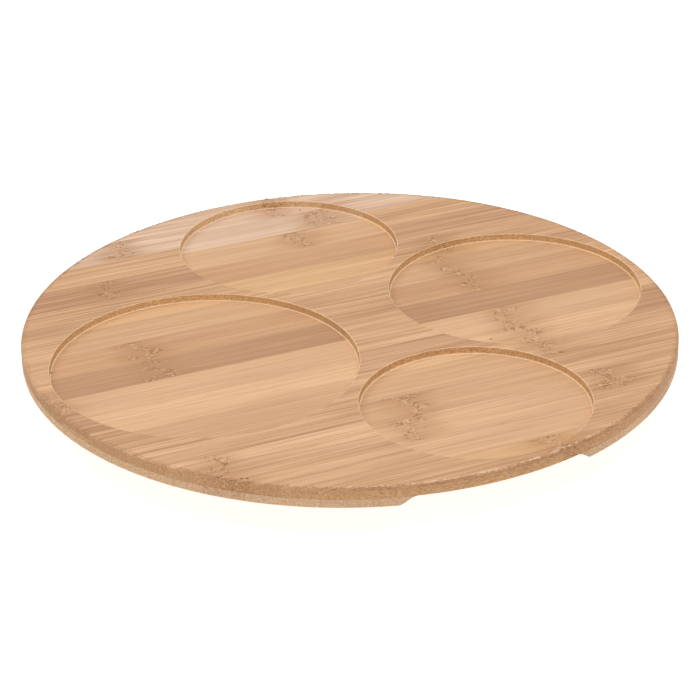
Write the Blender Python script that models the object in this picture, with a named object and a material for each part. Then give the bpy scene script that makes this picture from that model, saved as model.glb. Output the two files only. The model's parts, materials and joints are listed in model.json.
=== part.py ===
"""Lazy susan: a round bamboo serving board on an aluminium ball bearing and a small base.

Metres, +Z up. The origin is at the centre of the plane that the object stands on, and the
turning axis is Z. The board's two widest bowl seats lie along X, the finger grips nearly along Y.
"""

from math import cos, pi, radians, sin, sqrt

import bmesh
import bpy
from mathutils import Matrix

MM = 0.001
GAP = 0.3 * MM  # between pieces that touch or are glued

# The board: an upper layer with bowl seats, glued on a lower layer with finger grips.
BOARD_R = 175 * MM
SERVING_T = 5.6 * MM
BACKING_T = 5.0 * MM
BOARD_EDGE = 0.6 * MM
SEAT_DEPTH = 4.0 * MM
SEATS = {  # name: (centre x, centre y, radius)
    "large": (-86.3 * MM, -2.6 * MM, 80.7 * MM),
    "medium": (100.7 * MM, -2.6 * MM, 68.9 * MM),
    "small": (15.5 * MM, 105.7 * MM, 61.6 * MM),
    "smallest": (16.6 * MM, -106.9 * MM, 59.2 * MM),
}
GRIP_HALF_WIDTH = 44 * MM
GRIP_REACH = 20 * MM  # how far a grip goes in from the rim
GRIP_CORNER_R = 12 * MM
GRIP_FOOT = 10.5 * MM  # how much wider a grip is at the bottom, on every side
GRIP_TURN = radians(-2)  # the grips' middles lie this far round from Y

# The base.
BASE_R = 100 * MM
BASE_T = 8 * MM
BASE_EDGE = 1.5 * MM
PAD_R = 7 * MM
PAD_T = 1.5 * MM
PAD_EDGE = 0.3 * MM
PAD_CIRCLE_R = 84 * MM
PAD_COUNT = 4

# The bearing: an outer ring on the base, an inner ring under the board, balls between them.
BALL_R = 2.5 * MM
BALL_CIRCLE_R = 47.5 * MM
BALL_COUNT = 20
RACE_CLEARANCE = 0.3 * MM
RING_GAP = 1.6 * MM  # between the two rings' walls
RING_T = 8 * MM
RING_STEP = 0.8 * MM  # the inner ring stands this much higher than the outer one
INNER_RING_R = 35 * MM
OUTER_RING_R = 60 * MM
RING_EDGE = 0.4 * MM
CAGE_T = 0.9 * MM
CAGE_HEIGHT = 7.4 * MM
POCKET_CLEARANCE = 0.3 * MM

# Fasteners: (shank radius, head radius, head height, length).
BOARD_SCREW = (1.75 * MM, 3.5 * MM, 1.9 * MM, 14 * MM)
BASE_SCREW = (2.0 * MM, 4.0 * MM, 2.2 * MM, 14 * MM)
SCREW_COUNT = 4
SCREW_START = pi / 4
BOARD_SCREW_CIRCLE_R = 39.8 * MM
BASE_SCREW_CIRCLE_R = 55.5 * MM
HEAD_SUNK = 0.2 * MM  # how far a head lies below the face around it
HEAD_RIM = 0.2 * MM  # the upright edge of a head, below its cone
TIP_LENGTH = 2.6 * MM  # a wood screw's pointed end
DRIVE_LENGTH = 0.6  # a cross recess, as a share of the head's diameter
DRIVE_WIDTH = 0.7 * MM
DRIVE_DEPTH = 1.2 * MM
PLUG_R = 2.5 * MM

# Heights, from the standing plane up.
BASE_Z = PAD_T + GAP
BASE_TOP = BASE_Z + BASE_T
OUTER_RING_Z = BASE_TOP + GAP
INNER_RING_Z = OUTER_RING_Z + RING_STEP
BALL_Z = OUTER_RING_Z + (RING_T + RING_STEP) / 2
BACKING_Z = INNER_RING_Z + RING_T + GAP
SERVING_Z = BACKING_Z + BACKING_T + GAP
SERVING_TOP = SERVING_Z + SERVING_T

# Facets.
BOARD_FACETS = 120
ROUND_FACETS = 64
SMALL_FACETS = 16
BALL_FACETS = 12
PAD_FACETS = 24
POCKET_FACETS = 12
GROOVE_STEPS = 6
GRIP_CORNER_STEPS = 5
GRIP_ROUND_STEPS = 6

PAST = 1 * MM  # how far a cutter runs past the face it opens


# ---------------------------------------------------------------- scene and materials


def clear_scene():
    for obj in list(bpy.data.objects):
        bpy.data.objects.remove(obj, do_unlink=True)


def material(name, colour, roughness, metallic=0.0):
    """A Principled material, made once for each name."""
    made = bpy.data.materials.get(name)
    if made is None:
        made = bpy.data.materials.new(name)
        made.use_nodes = True
        shader = made.node_tree.nodes["Principled BSDF"]
        shader.inputs["Base Color"].default_value = (*colour, 1)
        shader.inputs["Roughness"].default_value = roughness
        shader.inputs["Metallic"].default_value = metallic
    return made


def bamboo_top():
    return material("bamboo_top", (0.62, 0.40, 0.23), 0.55)


def bamboo_backing():
    return material("bamboo_backing", (0.60, 0.42, 0.27), 0.6)


def bamboo_base():
    return material("bamboo_base", (0.64, 0.45, 0.28), 0.6)


def aluminium():
    return material("aluminium_ring", (0.75, 0.76, 0.78), 0.35, 1.0)


def steel():
    return material("steel_hardware", (0.62, 0.62, 0.63), 0.25, 1.0)


def nylon():
    return material("nylon_cage", (0.85, 0.84, 0.80), 0.5)


def rubber():
    return material("rubber_pads", (0.05, 0.05, 0.05), 0.8)


# ---------------------------------------------------------------- building blocks


def new_object(name, bm, finish=None):
    """The bmesh as an object: a smooth-shaded part with a finish, or a hidden cutter without one."""
    bmesh.ops.recalc_face_normals(bm, faces=bm.faces)
    mesh = bpy.data.meshes.new(name)
    bm.to_mesh(mesh)
    bm.free()
    obj = bpy.data.objects.new(name, mesh)
    bpy.context.scene.collection.objects.link(obj)
    if finish is None:
        obj.hide_render = True
        obj.display_type = "WIRE"
    else:
        mesh.materials.append(finish)
        mesh.shade_smooth()
        mesh.set_sharp_from_angle(angle=radians(30))
    return obj


def cylinder_mesh(radius, bottom, top, facets, centre=(0, 0)):
    bm = bmesh.new()
    bmesh.ops.create_cone(
        bm,
        cap_ends=True,
        segments=facets,
        radius1=radius,
        radius2=radius,
        depth=top - bottom,
        matrix=Matrix.Translation((*centre, (bottom + top) / 2)),
    )
    return bm


def box_mesh(size):
    bm = bmesh.new()
    bmesh.ops.create_cube(bm, size=1, matrix=Matrix.Diagonal((*size, 1)))
    return bm


def turned_mesh(profile, facets, ring=False):
    """A profile of (radius, height) points spun round Z. A ring's profile closes on itself."""
    bm = bmesh.new()
    points = [bm.verts.new((r, 0, z)) for r, z in profile]
    pairs = list(zip(points, points[1:]))
    if ring:
        pairs.append((points[-1], points[0]))
    edges = [bm.edges.new(pair) for pair in pairs]
    bmesh.ops.spin(
        bm, geom=points + edges, axis=(0, 0, 1), cent=(0, 0, 0), angle=2 * pi, steps=facets
    )
    bmesh.ops.remove_doubles(bm, verts=bm.verts, dist=0.001 * MM)
    return bm


def broken_edge(radius, z, width, upward):
    """A turned piece's corner, or the two points of its chamfer: the one on the flat face first.

    A chamfer of less than nothing breaks a bore's corner, where the flat face lies outside.
    """
    if not width:
        return [(radius, z)]
    return [(radius - width, z), (radius, z + upward * abs(width))]


def disc_mesh(radius, bottom, top, facets, bottom_edge=0.0, top_edge=0.0):
    """A disc whose lower and upper edges are broken by the given widths."""
    lower = broken_edge(radius, bottom, bottom_edge, 1)
    upper = broken_edge(radius, top, top_edge, -1)[::-1]
    return turned_mesh([(0, bottom), *lower, *upper, (0, top)], facets)


def cut(obj, cutter):
    boolean = obj.modifiers.new(cutter.name, "BOOLEAN")
    boolean.operation = "DIFFERENCE"
    boolean.solver = "EXACT"
    boolean.object = cutter


def around(count, radius, start=0.0):
    """The places of equal pieces on a circle, as (number, x, y, angle)."""
    for i in range(count):
        angle = start + 2 * pi * i / count
        yield i + 1, radius * cos(angle), radius * sin(angle), angle


def body(name):
    """The empty that holds the pieces that move together."""
    empty = bpy.data.objects.new(name, None)
    empty.empty_display_size = 0.02
    bpy.context.scene.collection.objects.link(empty)
    return empty


# ---------------------------------------------------------------- screws


def screw_profile(spec, pointed):
    """Half a countersunk screw from its head's flat face at height 0 up to its end."""
    shank_r, head_r, head_h, length = spec
    head = [(0, 0), (head_r, 0), (head_r, HEAD_RIM), (shank_r, HEAD_RIM + head_h)]
    shank_end = length - TIP_LENGTH if pointed else length
    return [*head, (shank_r, shank_end), (0, length)]


def screw(name, spec, place, pointed, parent):
    """A countersunk screw that points up, with a cross recess in its head."""
    part = new_object(name, turned_mesh(screw_profile(spec, pointed), SMALL_FACETS), steel())
    part.location = place
    part.parent = parent
    slot_length = 2 * spec[1] * DRIVE_LENGTH
    for turn in (0, pi / 2):
        slot = box_mesh((slot_length, DRIVE_WIDTH, 2 * DRIVE_DEPTH))
        cutter = new_object(f"{name}_drive_cut", slot)
        cutter.location = place
        cutter.rotation_euler.z = turn
        cut(part, cutter)


def cut_screw_hole(part, name, spec, place, depth):
    """Opens a countersink at the head's face, and a clear hole for the shank above it."""
    shank_r, head_r, head_h, _ = spec
    hole_r, sink_r = shank_r + GAP, head_r + GAP
    cone_z = HEAD_SUNK + HEAD_RIM + GAP / 2
    profile = [
        (0, -PAST),
        (sink_r, -PAST),
        (sink_r, cone_z),
        (hole_r, cone_z + head_h),
        (hole_r, depth),
        (0, depth),
    ]
    cutter = new_object(name, turned_mesh(profile, SMALL_FACETS))
    cutter.location = place
    cut(part, cutter)


def cut_hole(part, name, radius, bottom, top, place, facets=SMALL_FACETS):
    """Opens an upright round hole. Its ends lie past the faces that it opens."""
    cut(part, new_object(name, cylinder_mesh(radius, bottom, top, facets, place)))


# ---------------------------------------------------------------- the turning board


def serving_board(parent):
    """The upper layer of the board, with a flat round seat for each of four bowls."""
    disc = disc_mesh(BOARD_R, SERVING_Z, SERVING_TOP, BOARD_FACETS, top_edge=BOARD_EDGE)
    board = new_object("serving_board", disc, bamboo_top())
    board.parent = parent
    floor = SERVING_TOP - SEAT_DEPTH
    for name, (x, y, radius) in SEATS.items():
        past = SERVING_TOP + PAST
        cut_hole(board, f"{name}_seat_cut", radius, floor, past, (x, y), ROUND_FACETS)
    pilot_end = INNER_RING_Z + HEAD_SUNK + BOARD_SCREW[3] + GAP
    for i, x, y, _ in around(SCREW_COUNT, BOARD_SCREW_CIRCLE_R, SCREW_START):
        cut_hole(board, f"pilot_{i}_cut", BOARD_SCREW[0], SERVING_Z - PAST, pilot_end, (x, y))


def grip_outline(grow):
    """A finger grip seen from above, open at the rim: a slot with round inner corners."""
    half, corner = GRIP_HALF_WIDTH + grow, GRIP_CORNER_R + grow
    outer, inner = BOARD_R + 2 * PAST, BOARD_R - GRIP_REACH - grow
    right = []
    for step in range(GRIP_CORNER_STEPS + 1):
        angle = pi / 2 * step / GRIP_CORNER_STEPS
        right.append((half - corner + corner * cos(angle), inner + corner - corner * sin(angle)))
    left = [(-x, y) for x, y in reversed(right)]
    return [(half, outer), *right, *left, (-half, outer)]


def cut_grip(part, name, side):
    """Opens a grip whose wall slopes in an S, from the upper layer's face down to the lower face."""
    bm = bmesh.new()
    top = BACKING_Z + BACKING_T
    levels = [(top + PAST, 0)]
    for step in range(GRIP_ROUND_STEPS + 1):
        share = step / GRIP_ROUND_STEPS
        drop = share**2 * (3 - 2 * share)
        levels.append((top - BACKING_T * drop, GRIP_FOOT * share))
    levels.append((BACKING_Z - PAST, GRIP_FOOT))
    rings = [[bm.verts.new((x, side * y, z)) for x, y in grip_outline(grow)] for z, grow in levels]
    for upper, lower in zip(rings, rings[1:]):
        for i in range(len(upper)):
            bm.faces.new((upper[i - 1], upper[i], lower[i], lower[i - 1]))
    bm.faces.new(rings[0])
    bm.faces.new(rings[-1])
    cutter = new_object(name, bm)
    cutter.rotation_euler.z = GRIP_TURN
    cut(part, cutter)


def backing_board(parent):
    """The lower layer of the board, whose grain crosses the upper one, with two finger grips."""
    top = BACKING_Z + BACKING_T
    disc = disc_mesh(BOARD_R, BACKING_Z, top, BOARD_FACETS, bottom_edge=BOARD_EDGE)
    board = new_object("backing_board", disc, bamboo_backing())
    board.parent = parent
    cut_grip(board, "front_grip_cut", -1)
    cut_grip(board, "rear_grip_cut", 1)
    hole_r = BOARD_SCREW[0] + GAP
    for i, x, y, _ in around(SCREW_COUNT, BOARD_SCREW_CIRCLE_R, SCREW_START):
        cut_hole(board, f"backing_hole_{i}_cut", hole_r, BACKING_Z - PAST, top + PAST, (x, y))


# ---------------------------------------------------------------- the bearing


def groove(side):
    """The race's arc in a ring's wall, from bottom to top: side 1 is the outer ring's wall."""
    race_r = BALL_R + RACE_CLEARANCE
    half_gap = RING_GAP / 2
    half_height = sqrt(race_r**2 - half_gap**2)
    points = []
    for step in range(GROOVE_STEPS + 1):
        z = -half_height * cos(pi * step / GROOVE_STEPS)
        depth = sqrt(max(race_r**2 - z**2, half_gap**2))
        points.append((BALL_CIRCLE_R + side * depth, BALL_Z + z))
    return points


def outer_ring(parent):
    """The fixed ring: its race faces inwards, and its tapped holes take the base screws."""
    low, high = OUTER_RING_Z, OUTER_RING_Z + RING_T
    wall = BALL_CIRCLE_R + RING_GAP / 2
    outside = [
        *broken_edge(OUTER_RING_R, low, RING_EDGE, 1),
        *broken_edge(OUTER_RING_R, high, RING_EDGE, -1)[::-1],
    ]
    profile = [(wall, low), *outside, (wall, high), *groove(1)[::-1]]
    mesh = turned_mesh(profile, ROUND_FACETS, ring=True)
    ring = new_object("outer_race_ring", mesh, aluminium())
    ring.parent = parent
    hole_r = BASE_SCREW[0] + GAP
    for i, x, y, _ in around(SCREW_COUNT, BASE_SCREW_CIRCLE_R, SCREW_START):
        cut_hole(ring, f"tapped_{i}_cut", hole_r, low - PAST, high + PAST, (x, y))
    length = OUTER_RING_R - BALL_CIRCLE_R + PAST
    filling = cylinder_mesh(PLUG_R + GAP, 0, length, SMALL_FACETS)
    filling.transform(pointing_outwards(BALL_CIRCLE_R))
    cut(ring, new_object("filling_hole_cut", filling))


def pointing_outwards(radius):
    """Lays a piece modelled along Z on the balls' level, this far from the turning axis."""
    return Matrix.Translation((radius, 0, BALL_Z)) @ Matrix.Rotation(pi / 2, 4, "Y")


def filling_plug(parent):
    """The slotted plug that closes the hole through which the balls go in."""
    inner_end = BALL_CIRCLE_R + BALL_R + RACE_CLEARANCE + GAP
    length = OUTER_RING_R - HEAD_SUNK - inner_end
    bm = cylinder_mesh(PLUG_R, 0, length, SMALL_FACETS)
    bm.transform(pointing_outwards(inner_end))
    plug = new_object("filling_plug", bm, steel())
    plug.parent = parent
    slot = box_mesh((3 * PLUG_R, DRIVE_WIDTH, 2 * DRIVE_DEPTH))
    slot.transform(pointing_outwards(inner_end + length))
    cut(plug, new_object("plug_slot_cut", slot))


def inner_ring(parent):
    """The turning ring: its race faces outwards, and wood screws hold it under the board."""
    low, high = INNER_RING_Z, INNER_RING_Z + RING_T
    wall = BALL_CIRCLE_R - RING_GAP / 2
    inside = [
        *broken_edge(INNER_RING_R, high, -RING_EDGE, -1),
        *broken_edge(INNER_RING_R, low, -RING_EDGE, 1)[::-1],
    ]
    profile = [(wall, low), *groove(-1), (wall, high), *inside]
    mesh = turned_mesh(profile, ROUND_FACETS, ring=True)
    ring = new_object("inner_race_ring", mesh, aluminium())
    ring.parent = parent
    for i, x, y, _ in around(SCREW_COUNT, BOARD_SCREW_CIRCLE_R, SCREW_START):
        cut_screw_hole(ring, f"ring_hole_{i}_cut", BOARD_SCREW, (x, y, low), RING_T + PAST)


def ball_cage(parent):
    """The nylon strip that keeps the balls apart: a thin ring with a round pocket for each."""
    low, high = BALL_Z - CAGE_HEIGHT / 2, BALL_Z + CAGE_HEIGHT / 2
    inner, outer = BALL_CIRCLE_R - CAGE_T / 2, BALL_CIRCLE_R + CAGE_T / 2
    profile = [(inner, low), (outer, low), (outer, high), (inner, high)]
    cage = new_object("ball_cage", turned_mesh(profile, ROUND_FACETS, ring=True), nylon())
    cage.parent = parent
    for i, _, _, angle in around(BALL_COUNT, BALL_CIRCLE_R):
        pocket = cylinder_mesh(BALL_R + POCKET_CLEARANCE, -2 * CAGE_T, 2 * CAGE_T, POCKET_FACETS)
        pocket.transform(pointing_outwards(BALL_CIRCLE_R))
        cutter = new_object(f"pocket_{i}_cut", pocket)
        cutter.rotation_euler.z = angle
        cut(cage, cutter)


def balls(parent):
    """The steel balls, which share one mesh."""
    bm = bmesh.new()
    bmesh.ops.create_uvsphere(
        bm, u_segments=BALL_FACETS, v_segments=BALL_FACETS // 2, radius=BALL_R
    )
    first = new_object("bearing_ball_01", bm, steel())
    for i, x, y, _ in around(BALL_COUNT, BALL_CIRCLE_R):
        ball = first
        if i > 1:
            ball = bpy.data.objects.new(f"bearing_ball_{i:02}", first.data)
            bpy.context.scene.collection.objects.link(ball)
        ball.location = (x, y, BALL_Z)
        ball.parent = parent


# ---------------------------------------------------------------- the base


def base_disc(parent):
    """The small bamboo disc that stays still, with countersunk holes from below."""
    mesh = disc_mesh(BASE_R, BASE_Z, BASE_TOP, ROUND_FACETS, BASE_EDGE, BASE_EDGE)
    disc = new_object("base_disc", mesh, bamboo_base())
    disc.parent = parent
    for i, x, y, _ in around(SCREW_COUNT, BASE_SCREW_CIRCLE_R, SCREW_START):
        cut_screw_hole(disc, f"base_hole_{i}_cut", BASE_SCREW, (x, y, BASE_Z), BASE_T + PAST)


def foot_pads(parent):
    for i, x, y, _ in around(PAD_COUNT, PAD_CIRCLE_R, SCREW_START):
        mesh = disc_mesh(PAD_R, 0, PAD_T, PAD_FACETS, bottom_edge=PAD_EDGE)
        pad = new_object(f"foot_pad_{i}", mesh, rubber())
        pad.location = (x, y, 0)
        pad.parent = parent


def main():
    clear_scene()
    base, cage, turntable = body("base"), body("ball_train"), body("turntable")
    base_disc(base)
    foot_pads(base)
    outer_ring(base)
    filling_plug(base)
    ball_cage(cage)
    balls(cage)
    inner_ring(turntable)
    backing_board(turntable)
    serving_board(turntable)
    for i, x, y, _ in around(SCREW_COUNT, BOARD_SCREW_CIRCLE_R, SCREW_START):
        screw(f"board_screw_{i}", BOARD_SCREW, (x, y, INNER_RING_Z + HEAD_SUNK), True, turntable)
    for i, x, y, _ in around(SCREW_COUNT, BASE_SCREW_CIRCLE_R, SCREW_START):
        screw(f"base_screw_{i}", BASE_SCREW, (x, y, BASE_Z + HEAD_SUNK), False, base)


main()
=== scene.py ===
# %% [markdown]
# # A bamboo lazy susan
#
# This lesson dresses a finished design: a round bamboo serving board that turns on a ball
# bearing over a small base. The design file holds each part's size, place and joint. Here every
# part that shows is modelled again with its fine shape, and given a finish made of nodes.
#
# The first cell loads the design. Its parts stay where they are, and each new piece is hung on
# the body that it moves with.

# %% Load the design
import json
from math import cos, pi, radians, sin, sqrt

import bmesh
import bpy
from mathutils import Matrix, Vector


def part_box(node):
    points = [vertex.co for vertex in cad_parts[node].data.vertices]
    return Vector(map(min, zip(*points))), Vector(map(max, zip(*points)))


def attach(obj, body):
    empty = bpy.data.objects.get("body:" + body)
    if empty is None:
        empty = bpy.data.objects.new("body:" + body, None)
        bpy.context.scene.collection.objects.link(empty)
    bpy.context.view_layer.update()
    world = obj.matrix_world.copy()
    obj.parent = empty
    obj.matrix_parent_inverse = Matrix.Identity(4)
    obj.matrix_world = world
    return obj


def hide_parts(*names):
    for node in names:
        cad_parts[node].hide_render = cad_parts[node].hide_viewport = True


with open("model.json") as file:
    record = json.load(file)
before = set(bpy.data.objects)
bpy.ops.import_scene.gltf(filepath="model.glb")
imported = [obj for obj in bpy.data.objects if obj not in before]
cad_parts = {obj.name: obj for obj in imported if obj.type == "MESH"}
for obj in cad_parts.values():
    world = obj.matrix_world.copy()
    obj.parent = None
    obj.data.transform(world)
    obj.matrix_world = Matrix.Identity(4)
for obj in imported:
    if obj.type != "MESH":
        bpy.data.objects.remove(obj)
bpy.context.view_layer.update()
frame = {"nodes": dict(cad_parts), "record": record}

# %% [markdown]
# ## Sizes from the design
#
# Nothing below is placed by eye. The heights and radii of the parts come from their boxes. The
# bowl seats are mounts of the record, and a seat's radius is the distance from its middle to the
# nearest corner of a floor's outline, which is always one of its own.

# %% Measure the parts
MM = 0.001
NEAR = 0.02 * MM  # closer than this counts as the same height


def span(node):
    """A round part's radius, and its lowest and highest height."""
    low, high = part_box(node)
    return (high.x - low.x) / 2, low.z, high.z


def points_of(node, test):
    """Where the points of a part lie that pass the test."""
    return [v.co for v in frame["nodes"][node].data.vertices if test(v.co)]


BOARD_R, SERVING_LOW, SERVING_HIGH = span("serving_board")
_, BACKING_LOW, BACKING_HIGH = span("backing_board")
BASE_R, BASE_LOW, BASE_HIGH = span("base_disc")
INNER_RING_R, INNER_LOW, INNER_HIGH = span("inner_race_ring")
OUTER_RING_R, OUTER_LOW, OUTER_HIGH = span("outer_race_ring")
CAGE_R, CAGE_LOW, CAGE_HIGH = span("ball_cage")
BALL_R = span("bearing_ball_01")[0]
PAD_R = span("foot_pad_1")[0]
BASE_HEAD_R, BASE_SCREW_LOW, BASE_SCREW_HIGH = span("base_screw_1")
BOARD_HEAD_R, BOARD_SCREW_LOW, BOARD_SCREW_HIGH = span("board_screw_1")
PLUG_LOW, PLUG_HIGH = (corner.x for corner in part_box("filling_plug"))
PLUG_R = (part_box("filling_plug")[1].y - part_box("filling_plug")[0].y) / 2
FOUR = range(1, 5)  # the numbers of the screws and pads of a kind


def bore_of(node):
    """The smallest distance from the axis to a ring's points."""
    return min(point.xy.length for point in points_of(node, lambda p: True))


def middle_of(node):
    low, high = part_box(node)
    return (low + high) / 2


OUTER_BORE = bore_of("outer_race_ring")
INNER_BORE = bore_of("inner_race_ring")
CAGE_BORE = bore_of("ball_cage")
BALL_MIDDLE = middle_of("bearing_ball_01")
BALL_CIRCLE_R = BALL_MIDDLE.xy.length
print("The balls run on a circle", round(BALL_CIRCLE_R / MM, 1), "mm out")

seat_mounts = [m for m in frame["record"]["mounts"] if m["name"].endswith("_seat")]
FLOOR = seat_mounts[0]["pos_m"][2]
floor_points = points_of("serving_board", lambda p: abs(p.z - FLOOR) < NEAR)
SEATS = []
for mount in seat_mounts:
    middle = Vector(mount["pos_m"])
    radius = min((point - middle).length for point in floor_points)
    SEATS.append((middle.x, middle.y, radius))
    print(mount["name"], "has a radius of", round(radius / MM, 1), "mm")

# %% [markdown]
# ## Small helpers
#
# Blender's operators act on whatever is selected, so each helper first selects just the piece it
# works on. `pick` chooses vertices, edges or faces by where they are, which is what a hand with
# a mouse would do.

# %% Helpers for modelling
def use_only(piece):
    bpy.ops.object.select_all(action="DESELECT")
    piece.select_set(True)
    bpy.context.view_layer.objects.active = piece


def settle(name):
    """Names the new piece, and moves its place into its mesh."""
    piece = bpy.context.active_object
    piece.name = piece.data.name = name
    use_only(piece)
    bpy.ops.object.transform_apply(location=True, rotation=True, scale=True)
    return piece


def edit(piece):
    use_only(piece)
    bpy.ops.object.mode_set(mode="EDIT")
    bpy.ops.mesh.select_mode(type="VERT")
    bpy.ops.mesh.select_all(action="DESELECT")


def leave_edit():
    bpy.ops.object.mode_set(mode="OBJECT")


def pick(piece, kind, test):
    """Selects just the verts, edges or faces whose middle passes the test."""
    bpy.ops.mesh.select_mode(type={"verts": "VERT", "edges": "EDGE", "faces": "FACE"}[kind])
    bpy.ops.mesh.select_all(action="DESELECT")
    mesh = bmesh.from_edit_mesh(piece.data)
    for part in getattr(mesh, kind):
        corners = [part] if kind == "verts" else part.verts
        middle = sum((v.co for v in corners), Vector()) / len(corners)
        part.select_set(test(middle))
    bmesh.update_edit_mesh(piece.data)


def add_disc(name, radius, low, high, sides, place=(0, 0)):
    bpy.ops.object.select_all(action="DESELECT")
    bpy.ops.mesh.primitive_cylinder_add(
        vertices=sides, radius=radius, depth=high - low, location=(*place, (low + high) / 2)
    )
    return settle(name)


def add_block(name, sides, place=(0, 0, 0)):
    bpy.ops.object.select_all(action="DESELECT")
    bpy.ops.mesh.primitive_cube_add(size=1, location=place)
    bpy.context.active_object.scale = sides
    return settle(name)


def merge_close():
    bpy.ops.mesh.select_all(action="SELECT")
    bpy.ops.mesh.remove_doubles(threshold=NEAR / 10)


def draw(name, outline, closed):
    """Draws a line through (radius, height) points, vertex by vertex, and stays in edit mode."""
    bpy.ops.object.select_all(action="DESELECT")
    bpy.ops.mesh.primitive_plane_add(size=MM)
    piece = settle(name)
    edit(piece)
    bpy.ops.mesh.select_all(action="SELECT")
    bpy.ops.mesh.merge(type="CENTER")
    places = [Vector((r, 0, z)) for r, z in outline]
    bpy.ops.transform.translate(value=places[0])
    if closed:
        places.append(places[0])
    for here, there in zip(places, places[1:]):
        bpy.ops.mesh.extrude_vertices_move(TRANSFORM_OT_translate={"value": there - here})
    merge_close()
    return piece


def add_turned(name, outline, sides, closed=False):
    """Spins an outline round Z."""
    piece = draw(name, outline, closed)
    bpy.ops.mesh.spin(steps=sides, angle=2 * pi, center=(0, 0, 0), axis=(0, 0, 1))
    merge_close()
    bpy.ops.mesh.normals_make_consistent(inside=False)
    leave_edit()
    return piece


def apply_modifier(piece, kind, **settings):
    use_only(piece)
    step = piece.modifiers.new(kind.title(), kind)
    for name, value in settings.items():
        setattr(step, name, value)
    bpy.ops.object.modifier_apply(modifier=step.name)


def combine(piece, other, operation):
    """A Boolean with another object, which it uses up."""
    apply_modifier(piece, "BOOLEAN", object=other, operation=operation, solver="EXACT")
    bpy.data.objects.remove(other)


def cut_away(piece, cutter):
    combine(piece, cutter, "DIFFERENCE")


def copy_of(piece, name, turn=0.0):
    """A copy with its own mesh, turned to the left about the board's axis."""
    use_only(piece)
    bpy.ops.object.duplicate()
    # Without a window this operator turns the other way, so the angle is given as its negative.
    bpy.ops.transform.rotate(value=-turn, orient_axis="Z", center_override=(0, 0, 0))
    return settle(name)


def smooth(piece, angle=35):
    """Shades the piece smooth up to its sharp edges. Big flat faces keep their own shading."""
    use_only(piece)
    bpy.ops.object.shade_smooth_by_angle(angle=radians(angle))
    apply_modifier(piece, "WEIGHTED_NORMAL", keep_sharp=True, weight=100)


def arc(middle_r, middle_z, radius, start, end, steps):
    """Points on an arc in the (radius, height) plane. Angles are in degrees from outwards."""
    turns = [radians(start + (end - start) * i / steps) for i in range(steps + 1)]
    return [(middle_r + radius * cos(t), middle_z + radius * sin(t)) for t in turns]


# %% [markdown]
# ## The serving board
#
# The real board is a panel of bamboo strips, glued side by side and cut round. A router then
# sinks the bowl seats. Its bit leaves a small round in the corner of the floor, and sanding
# softens the mouth of each seat.
#
# A disc primitive gets a band of thin rings near its rim for the torn fibres that come later,
# and a rounded edge. Each seat is a turned cutter with both roundings already in its outline,
# so the Boolean leaves clean arcs, where bevelling the edges afterwards would pinch them.

# %% Shape the serving board
RIM_SIDES = 1440
EDGE_ROUND = 0.9 * MM
SEAT_SIDES = 480
SEAT_CORNER = 0.8 * MM
MOUTH_ROUND = 0.5 * MM
FLARE = (0.97 * MM, 0.26 * MM)  # outwards and up, where sanding dished the mouth
RIM_BAND = (0.5 * MM, 0.5 * MM, 0.6 * MM, 0.8 * MM, 1.0 * MM)  # rings, from the edge inwards
PAST = 2 * MM  # how far a cutter reaches past a face that it opens


def round_rim(piece, height, width, steps):
    """Rounds the outer edge of a disc at this height."""
    edit(piece)
    rim_r = BOARD_R - 3 * NEAR
    pick(piece, "edges", lambda p: abs(p.z - height) < NEAR and p.xy.length > rim_r)
    bpy.ops.mesh.bevel(offset=width, segments=steps, affect="EDGES")
    leave_edit()


def seat_cutter(x, y, radius):
    """The space of a bowl seat, with a round at the floor and a flare at the mouth."""
    mouth = arc(radius + MOUTH_ROUND, SERVING_HIGH - MOUTH_ROUND, MOUTH_ROUND, 180, 105, 4)
    flare = (mouth[-1][0] + FLARE[0], mouth[-1][1] + FLARE[1])
    outline = [
        (0, FLOOR),
        *arc(radius - SEAT_CORNER, FLOOR + SEAT_CORNER, SEAT_CORNER, -90, 0, 4),
        *mouth,
        flare,
        (flare[0], SERVING_HIGH + PAST),
        (0, SERVING_HIGH + PAST),
    ]
    cutter = add_turned("seat_cutter", outline, SEAT_SIDES)
    cutter.location = (x, y, 0)
    return cutter


serving = add_disc("serving_board_panel", BOARD_R, SERVING_LOW, SERVING_HIGH, RIM_SIDES)
round_rim(serving, SERVING_HIGH, EDGE_ROUND, 4)
edit(serving)
pick(serving, "faces", lambda p: abs(p.z - SERVING_HIGH) < NEAR)
for width in RIM_BAND:
    bpy.ops.mesh.inset(thickness=width)
leave_edit()
for seat in SEATS:
    cut_away(serving, seat_cutter(*seat))
print("The serving board has", len(serving.data.polygons), "faces")

# %% [markdown]
# Four wood screws hold the bearing to the board, in pilot holes that stop below the seats. A
# drill leaves a hole with a pointed end, so the cutter is turned with that point in its outline.

# %% Drill the pilot holes
PILOT_R = 1.75 * MM
SCREW_GAP = 0.3 * MM  # the play round a screw
DRILL_POINT = 0.9 * MM


def drill(piece, outline, screw):
    """Cuts the same turned hole at each of the four screws of a kind."""
    for i in FOUR:
        cutter = add_turned("hole_cutter", outline, 48)
        cutter.location = (*middle_of(f"{screw}_{i}").xy, 0)
        cut_away(piece, cutter)


pilot_end = BOARD_SCREW_HIGH + 0.3 * MM
pilot = [
    (0, SERVING_LOW - MM),
    (PILOT_R, SERVING_LOW - MM),
    (PILOT_R, pilot_end - DRILL_POINT),
    (0, pilot_end),
]
drill(serving, pilot, "board_screw")
print("Four pilot holes end", round((SERVING_HIGH - pilot_end) / MM, 1), "mm under the top")

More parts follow.
